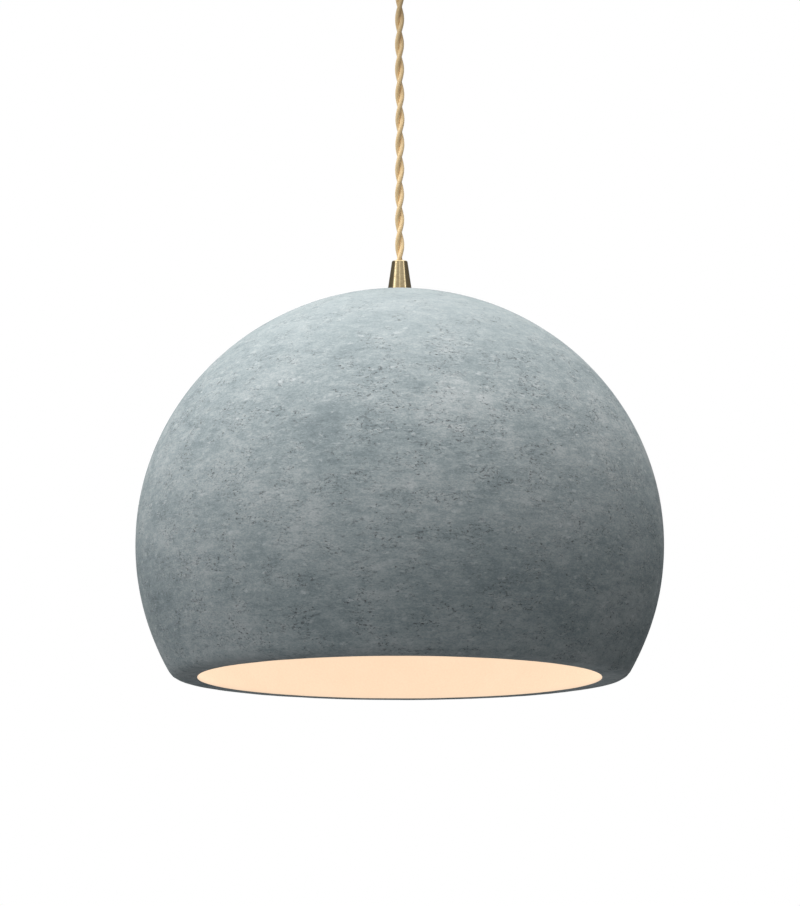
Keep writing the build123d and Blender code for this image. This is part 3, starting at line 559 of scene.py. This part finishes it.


# The skimmed skin. Colours run from slate to pale grey; all its marks are drawn out level, as the trowel went
# round, and toward the crown the marks fade out, a painted highlight that washes them out.
concrete, graph, shader = new_finish("skimmed_mineral_skin", Specular_IOR_Level=0.28)
level = (0.8, 0.8, 1.6)
clouds = noise(graph, 0.085, 4.0, (1.0, 1.0, 1.5), 0.5)
drift = noise(graph, 0.028, 5.0, (1.0, 1.0, 1.8), 0.6)
mottle = noise(graph, 0.0075, 6.0, level, 0.78)
streaks = noise(graph, 0.012, 4.0, (0.45, 0.45, 3.4), 0.7)
grit = noise(graph, 0.0016, 3.0, level, 0.75)
# Painted highlight: the marks' contrast fades toward the crown.
crown_highlight_washout = ease(height_on(graph), crown_level - 0.11, crown_level - 0.01, 1.0, 0.45)
tone = clouds * 0.20 + drift * 0.18 + mottle * 0.25 + streaks * 0.10 + grit * 0.27
tone = (tone - 0.5) * crown_highlight_washout + 0.51
body = tone.make(
    "ShaderNodeValToRGB",
    {
        "stops": [
            (0.38, (0.155, 0.192, 0.204)),
            (0.46, (0.219, 0.263, 0.274)),
            (0.50, (0.264, 0.309, 0.318)),
            (0.54, (0.317, 0.357, 0.364)),
            (0.62, (0.431, 0.459, 0.465)),
        ]
    },
    {0: tone},
)
flock = noise(graph, 0.03, 3.0, (1.0, 1.0, 1.6), 0.65)
swarm = noise(graph, 0.022, 3.0, (1.0, 1.0, 1.6), 0.65)
ragged = noise(graph, 0.0028, 4.0, (0.8, 0.8, 1.6), 0.8)
flecks = ease(cells(graph, 0.0085, (0.7, 0.7, 1.3)) + ragged * 1.1, 0.80, 0.58) * ease(flock, 0.42, 0.58)
hairs = ease(noise(graph, 0.0046, 4.0, (0.5, 0.5, 2.2), 0.8), 0.56, 0.66) * ease(swarm, 0.36, 0.54)
speckle = noise(graph, 0.0021, 4.0, (0.8, 0.8, 1.4), 0.8)
pinholes = ease(speckle, 0.45, 0.37) * ease(swarm, 0.48, 0.58)
shreds = ease(noise(graph, 0.0048, 5.0, (0.6, 0.6, 1.9), 0.85), 0.44, 0.35) * ease(flock, 0.60, 0.46)
blowholes = ease(cells(graph, 0.016, (0.8, 0.8, 1.5)) + speckle * 0.20, 0.17, 0.11)
pale = blend((flecks * 0.58 + hairs * 0.50) * crown_highlight_washout, body, (0.488, 0.522, 0.533, 1))
soft = blend(shreds * crown_highlight_washout * 0.60, pale, (0.118, 0.137, 0.148, 1))
# Pinholes and blowholes are coloured near black: painted shade inside the pits, over their real dents in the
# bump below.
pitted = blend(pinholes * crown_highlight_washout * 0.85, soft, (0.074, 0.080, 0.087, 1))
feed(shader, Base_Color=blend(blowholes * 0.75, pitted, (0.044, 0.046, 0.049, 1)))
feed(shader, Roughness=ease(mottle + flecks * 0.3, 0.3, 0.9, 0.82, 0.62))
surface = mottle * 0.3 + grit * 0.25 + flecks * 0.3 - shreds * 0.4 - pinholes * 0.7 - blowholes * 1.2
feed(shader, Normal=relief(surface, 0.0005, 0.6))

# The paint inside: a roller leaves a fine stipple. Its warm glow is painted light, an emission that stands in
# for the bulb's light on the paint.
inner_paint_painted_glow, graph, shader = new_finish("inner_paint_with_painted_glow", Specular_IOR_Level=0.3, Emission_Strength=1.0)
stipple = noise(graph, 0.0016, 3.0)
roller = noise(graph, 0.04, 2.0)
feed(shader, Base_Color=blend(ease(stipple, 0.3, 0.7), (0.085, 0.070, 0.056, 1), (0.115, 0.096, 0.078, 1)))
# Painted light: the glow's colour, with faint roller marks in it.
painted_glow_colour = blend(ease(roller + stipple * 0.4, 0.4, 1.0), (0.905, 0.672, 0.478, 1), (0.935, 0.70, 0.503, 1))
# Painted shade: the glow darkens deeper inside, toward the crown.
painted_shade_toward_crown = ease(height_on(graph), rim_level + 0.08, crown_level - 0.01)
feed(shader, Emission_Color=blend(painted_shade_toward_crown, painted_glow_colour, (0.66, 0.44, 0.27, 1)))
feed(shader, Roughness=ease(stipple, 0.3, 0.7, 0.62, 0.5))
feed(shader, Normal=relief(stipple, 0.0001))

wall_sizes = {
    "Swell": 0.0004,
    "Swell Size": 0.05,
    "Pock": 0.00022,
    "Pock Size": 0.011,
    "Seed": 7.0,
}
mould_tree = bpy.data.node_groups.new("hand_skimmed_wall", "GeometryNodeTree")
socket(mould_tree, "Blank", "NodeSocketGeometry")
for label in wall_sizes:
    socket(mould_tree, label, "NodeSocketFloat")
socket(mould_tree, "Shade", "NodeSocketGeometry", side="OUTPUT")
start = mould_tree.nodes.new("NodeGroupInput")
form = Signal(mould_tree)
given = {item.name: Signal(mould_tree, item) for item in start.outputs if item.name}


def lumps(size):
    """Noise about zero on the shade's own points, with features of that size."""
    scale = form.math("DIVIDE", 1.0, size)
    sockets = {"W": given["Seed"], "Scale": scale, "Detail": 2.0}
    return form.make("ShaderNodeTexNoise", {"noise_dimensions": "4D"}, sockets) - 0.5


depth = lumps(given["Swell Size"]) * given["Swell"] + lumps(given["Pock Size"]) * given["Pock"]
push = form.make(
    "ShaderNodeVectorMath", {"operation": "SCALE"}, {0: form.make("GeometryNodeInputNormal"), "Scale": depth}
)
skin = form.make("GeometryNodeSetPosition", None, {"Geometry": given["Blank"], "Offset": push})
skin = form.make("GeometryNodeRealizeInstances", None, {0: skin})
skin = form.make("GeometryNodeSetShadeSmooth", None, {"Geometry": skin})
skin = form.make("GeometryNodeSetMaterial", None, {"Geometry": skin, "Material": concrete})
inner_face = form.make("GeometryNodeInputNamedAttribute", {"data_type": "FLOAT"}, {"Name": "painted"})
is_inner = form.make("FunctionNodeCompare", {"operation": "GREATER_THAN"}, {0: inner_face, 1: 0.5})
paint_job = {"Geometry": skin, "Selection": is_inner, "Material": inner_paint_painted_glow}
skin = form.make("GeometryNodeSetMaterial", None, paint_job)
mould_tree.links.new(skin.socket, mould_tree.nodes.new("NodeGroupOutput").inputs[0])
add_tree(blank, mould_tree, wall_sizes)
shade = plain_mesh("moulded_shade", blank)
bpy.data.objects.remove(blank)
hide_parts("shade")
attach(shade, "shade")


# ---------------------------------------------------------------- lampholder
# Cap and skirt moulded in black phenolic and screwed together over a ceramic insert. The insert holds
# two terminals, the sprung centre tongue and the rolled brass screw shell.
phenolic = moulded(
    "black_phenolic",
    (0.012, 0.011, 0.010),
    (0.030, 0.024, 0.020),
    0.22,
    0.38,
    0.001,
    Coat_Weight=0.25,
)
dress(phenolic, "lampholder_cap", "lampholder_skirt")
steatite = moulded("unglazed_steatite", (0.70, 0.67, 0.60), (0.83, 0.81, 0.76), 0.55, 0.75, 0.0014)
dress(steatite, "lampholder_insert")
dress(contact_brass, "lampholder_screw_shell", "lampholder_centre_contact", "lampholder_rivets")
dress(bright_steel, "lampholder_grub_screw", "lampholder_terminal_screws")


# ---------------------------------------------------------------- bulb
# A blown opal globe cemented into a rolled, nickel-plated screw cap with a black glass insulator.
# Inside, a clear stem carries the light sticks on thin nickel wires, over a small driver board.
opal, graph, shader = new_finish("opal_glass", Emission_Strength=1.0, Coat_Weight=0.6, Coat_Roughness=0.06)
frost = noise(graph, 0.02, 3.0)
body_glow = blend(ease(frost, 0.3, 0.7), (1.0, 0.80, 0.58, 1), (1.0, 0.85, 0.66, 1))
feed(shader, Emission_Color=body_glow)
feed(shader, Base_Color=blend(frost, (0.78, 0.76, 0.72, 1), (0.86, 0.84, 0.80, 1)))
feed(shader, Roughness=ease(frost, 0.3, 0.7, 0.24, 0.34))
dress(opal, "bulb_glass")

nickel = metal(
    "nickel_plate",
    bright=(0.80, 0.78, 0.74),
    dull=(0.56, 0.54, 0.50),
    smooth=0.14,
    rough=0.3,
    grain=0.0005,
    stretch=(0.4, 0.4, 1.0),
    depth=0.00001,
)
dress(nickel, "bulb_cap", "bulb_tip_contact", "bulb_wires")
black_glass = moulded(
    "black_glass",
    (0.010, 0.010, 0.012),
    (0.022, 0.022, 0.026),
    0.08,
    0.16,
    Coat_Weight=0.5,
)
dress(black_glass, "bulb_insulator")

clear_glass, graph, shader = new_finish("stem_glass", Transmission_Weight=1.0, IOR=1.47)
seeds = noise(graph, 0.003, 2.0)
feed(shader, Base_Color=blend(seeds, (0.90, 0.95, 0.94, 1), (0.97, 0.99, 0.98, 1)))
feed(shader, Roughness=ease(seeds, 0.3, 0.7, 0.02, 0.07))
dress(clear_glass, "bulb_stem")

phosphor, graph, shader = new_finish("phosphor_coat", Emission_Strength=4.0)
grain = noise(graph, 0.0005, 2.0)
feed(shader, Base_Color=blend(grain, (0.85, 0.60, 0.14, 1), (0.95, 0.74, 0.26, 1)))
feed(shader, Emission_Color=blend(grain, (1.0, 0.66, 0.30, 1), (1.0, 0.74, 0.40, 1)))
feed(shader, Roughness=ease(grain, 0.3, 0.7, 0.5, 0.7))
dress(phosphor, "bulb_filaments")
board_lacquer = moulded("green_board", (0.02, 0.14, 0.06), (0.04, 0.20, 0.09), 0.25, 0.4, 0.0008)
dress(board_lacquer, "bulb_driver_board")


# ---------------------------------------------------------------- studio
# A pale floor that is clear from underneath, a soft sky that is bright overhead and dim at the sides,
# tall soft strips that draw lines in the brass, and one large soft box high on the left.
floor_level = rim_level - 1.7
floor_half = 7.0
floor_mesh = bpy.data.meshes.new("studio_floor")
floor_mesh.from_pydata(
    [(x * floor_half, y * floor_half, floor_level) for x, y in ((-1, -1), (1, -1), (1, 1), (-1, 1))],
    [],
    [(0, 1, 2, 3)],
)
floor = bpy.data.objects.new("studio_floor", floor_mesh)
bpy.context.collection.objects.link(floor)
floor_paint, graph, shader = new_finish("floor_paint", Specular_IOR_Level=0.1)
feed(shader, Base_Color=blend(noise(graph, 0.4, 3.0), (0.82, 0.82, 0.82, 1), (0.86, 0.86, 0.86, 1)))
feed(shader, Roughness=ease(noise(graph, 0.05), 0.3, 0.7, 0.8, 0.95))
from_below = graph.make("ShaderNodeNewGeometry", output="Backfacing")
clear = graph.make("ShaderNodeBsdfTransparent")
painted_top = Signal(floor_paint.node_tree, shader.outputs["BSDF"])
floor_shown = graph.make("ShaderNodeMixShader", None, {0: from_below, 1: painted_top, 2: clear})
floor_output = floor_paint.node_tree.nodes["Material Output"]
floor_paint.node_tree.links.new(floor_shown.socket, floor_output.inputs["Surface"])
floor_mesh.materials.append(floor_paint)
floor.visible_diffuse = False
floor.visible_glossy = False

world = bpy.data.worlds.new("studio")
bpy.context.scene.world = world
world.use_nodes = True
sky = Signal(world.node_tree)
toward = sky.make("ShaderNodeTexCoord", output="Generated")
upward = sky.make("ShaderNodeSeparateXYZ", None, {0: toward}, "Z")
rightward = sky.make("ShaderNodeSeparateXYZ", None, {0: toward}, "X")
forward = sky.make("ShaderNodeSeparateXYZ", None, {0: toward}, "Y")
glow = sky.make(
    "ShaderNodeValToRGB",
    {
        "stops": [
            (0.0, (0.036, 0.036, 0.037)),
            (0.42, (0.043, 0.044, 0.045)),
            (0.50, (0.100, 0.101, 0.102)),
            (0.60, (0.060, 0.061, 0.062)),
            (0.75, (0.055, 0.056, 0.057)),
            (0.84, (0.17, 0.171, 0.172)),
            (0.93, (0.455, 0.448, 0.446)),
            (1.0, (0.98, 0.965, 0.96)),
        ]
    },
    {0: upward * 0.5 + 0.5},
)
left_heavy = 1 - rightward * 0.7
light = sky.make("ShaderNodeBackground", None, {"Color": glow, "Strength": left_heavy * 7.0})

# What shiny metal sees: a dim room, dark behind, three upright strips of light and a bright ceiling.
bearing = sky.math("ABSOLUTE", sky.math("ARCTAN2", rightward, 0 - forward))
room = ease(bearing, 1.25, 0.95, 0.14, 0.50) + ease(upward, 0.45, 0.8) * 1.5
side_strips = ease(sky.math("ABSOLUTE", bearing - 1.05), 0.12, 0.05) * 1.5
front_strip = ease(bearing, 0.11, 0.04) * 0.7
seen_by_metal = room + side_strips + front_strip
mirror = sky.make("ShaderNodeBackground", None, {"Strength": seen_by_metal})
white = sky.make("ShaderNodeBackground", None, {"Strength": 1.0})
for node in (white.socket.node, mirror.socket.node):
    node.inputs["Color"].default_value = (1.0, 1.0, 1.0, 1.0)
glossy = sky.make("ShaderNodeLightPath", output="Is Glossy Ray")
lit = sky.make("ShaderNodeMixShader", None, {0: glossy, 1: light, 2: mirror})
seen = sky.make("ShaderNodeLightPath", output="Is Camera Ray")
shown = sky.make("ShaderNodeMixShader", None, {0: seen, 1: lit, 2: white})
sky.tree.links.new(shown.socket, sky.tree.nodes["World Output"].inputs["Surface"])


def soft_box(name, spot, aim, width, length, power):
    """A rectangular soft light that faces a point."""
    lamp = bpy.data.lights.new(name, "AREA")
    lamp.shape = "RECTANGLE"
    lamp.size = width
    lamp.size_y = length
    lamp.energy = power
    holder = bpy.data.objects.new(name, lamp)
    holder.location = spot
    holder.rotation_euler = (Vector(aim) - Vector(spot)).to_track_quat("-Z", "Y").to_euler()
    bpy.context.collection.objects.link(holder)


shade_middle = (0.0, 0.0, (rim_level + crown_level) / 2)
soft_box("high_left_box", (-2.4, -1.6, 1.2), shade_middle, 1.8, 1.8, 6.0)

bpy.context.scene.view_settings.view_transform = "Standard"

# The camera stands five metres off, a little below the rim, and looks slightly up.
stand_off = 5.0
eye_level = rim_level - stand_off * 0.1051
aim_above_rim = 0.1713
view_width = 0.6067
eye = Vector((0.0, -stand_off, eye_level))
target = Vector((0.0002, 0.0, rim_level + aim_above_rim))
camera = bpy.data.cameras.new("camera")
camera.sensor_fit = "HORIZONTAL"
camera.sensor_width = 36.0
camera.lens = camera.sensor_width * (target - eye).length / view_width
camera.clip_end = 50.0
viewer = bpy.data.objects.new("camera", camera)
viewer.location = eye
viewer.rotation_euler = (target - eye).to_track_quat("-Z", "Y").to_euler()
bpy.context.collection.objects.link(viewer)
bpy.context.scene.camera = viewer
